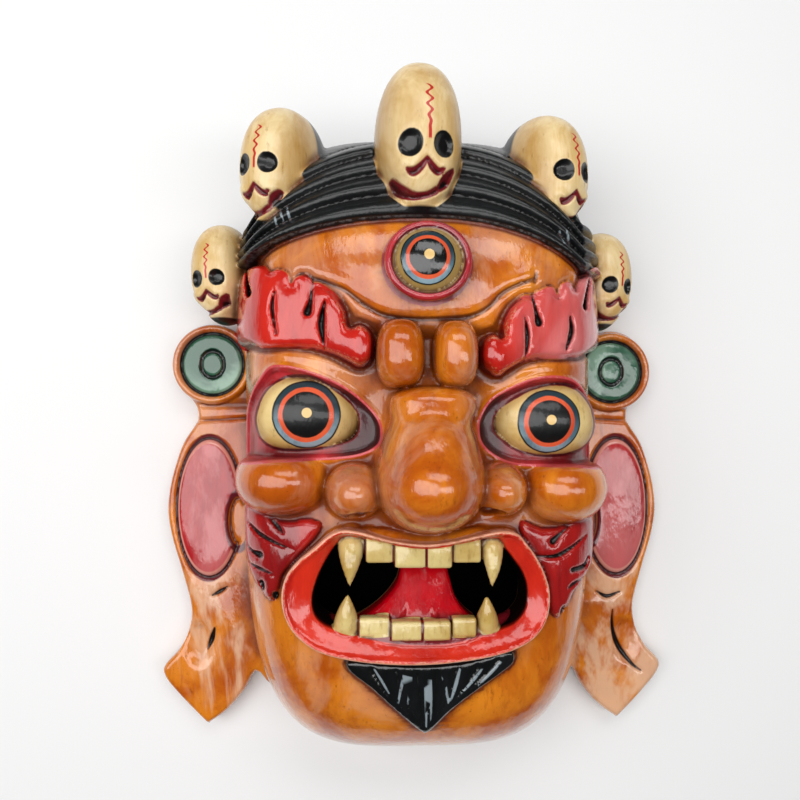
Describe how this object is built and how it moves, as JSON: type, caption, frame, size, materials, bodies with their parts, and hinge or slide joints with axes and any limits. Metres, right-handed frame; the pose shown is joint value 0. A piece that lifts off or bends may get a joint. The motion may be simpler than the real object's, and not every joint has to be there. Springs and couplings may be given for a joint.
{
  "type": "carved wooden dance mask",
  "caption": "Wrathful guardian dance mask in painted, lacquered wood: skull crown, third eye, flaming brows, bulging eyes, fanged open mouth with tongue, chin beard and long ears.",
  "frame": {"origin": "on the back plane that the mask lies on, in the middle of its outline", "axes": "+X to the right of the face as seen from the front, +Y from chin to crown, +Z out of the face"},
  "size_m": [0.2256, 0.284, 0.106],
  "materials": {
    "painted_wood": "hand-painted wood under gloss lacquer: amber-orange skin, red brows and lips, black headband and beard, cream skulls and teeth, green ear rosettes, dark wash in the grooves, bare stained wood behind"
  },
  "bodies": {
    "root": {"mask": "painted_wood"}
  },
  "joints": []
}
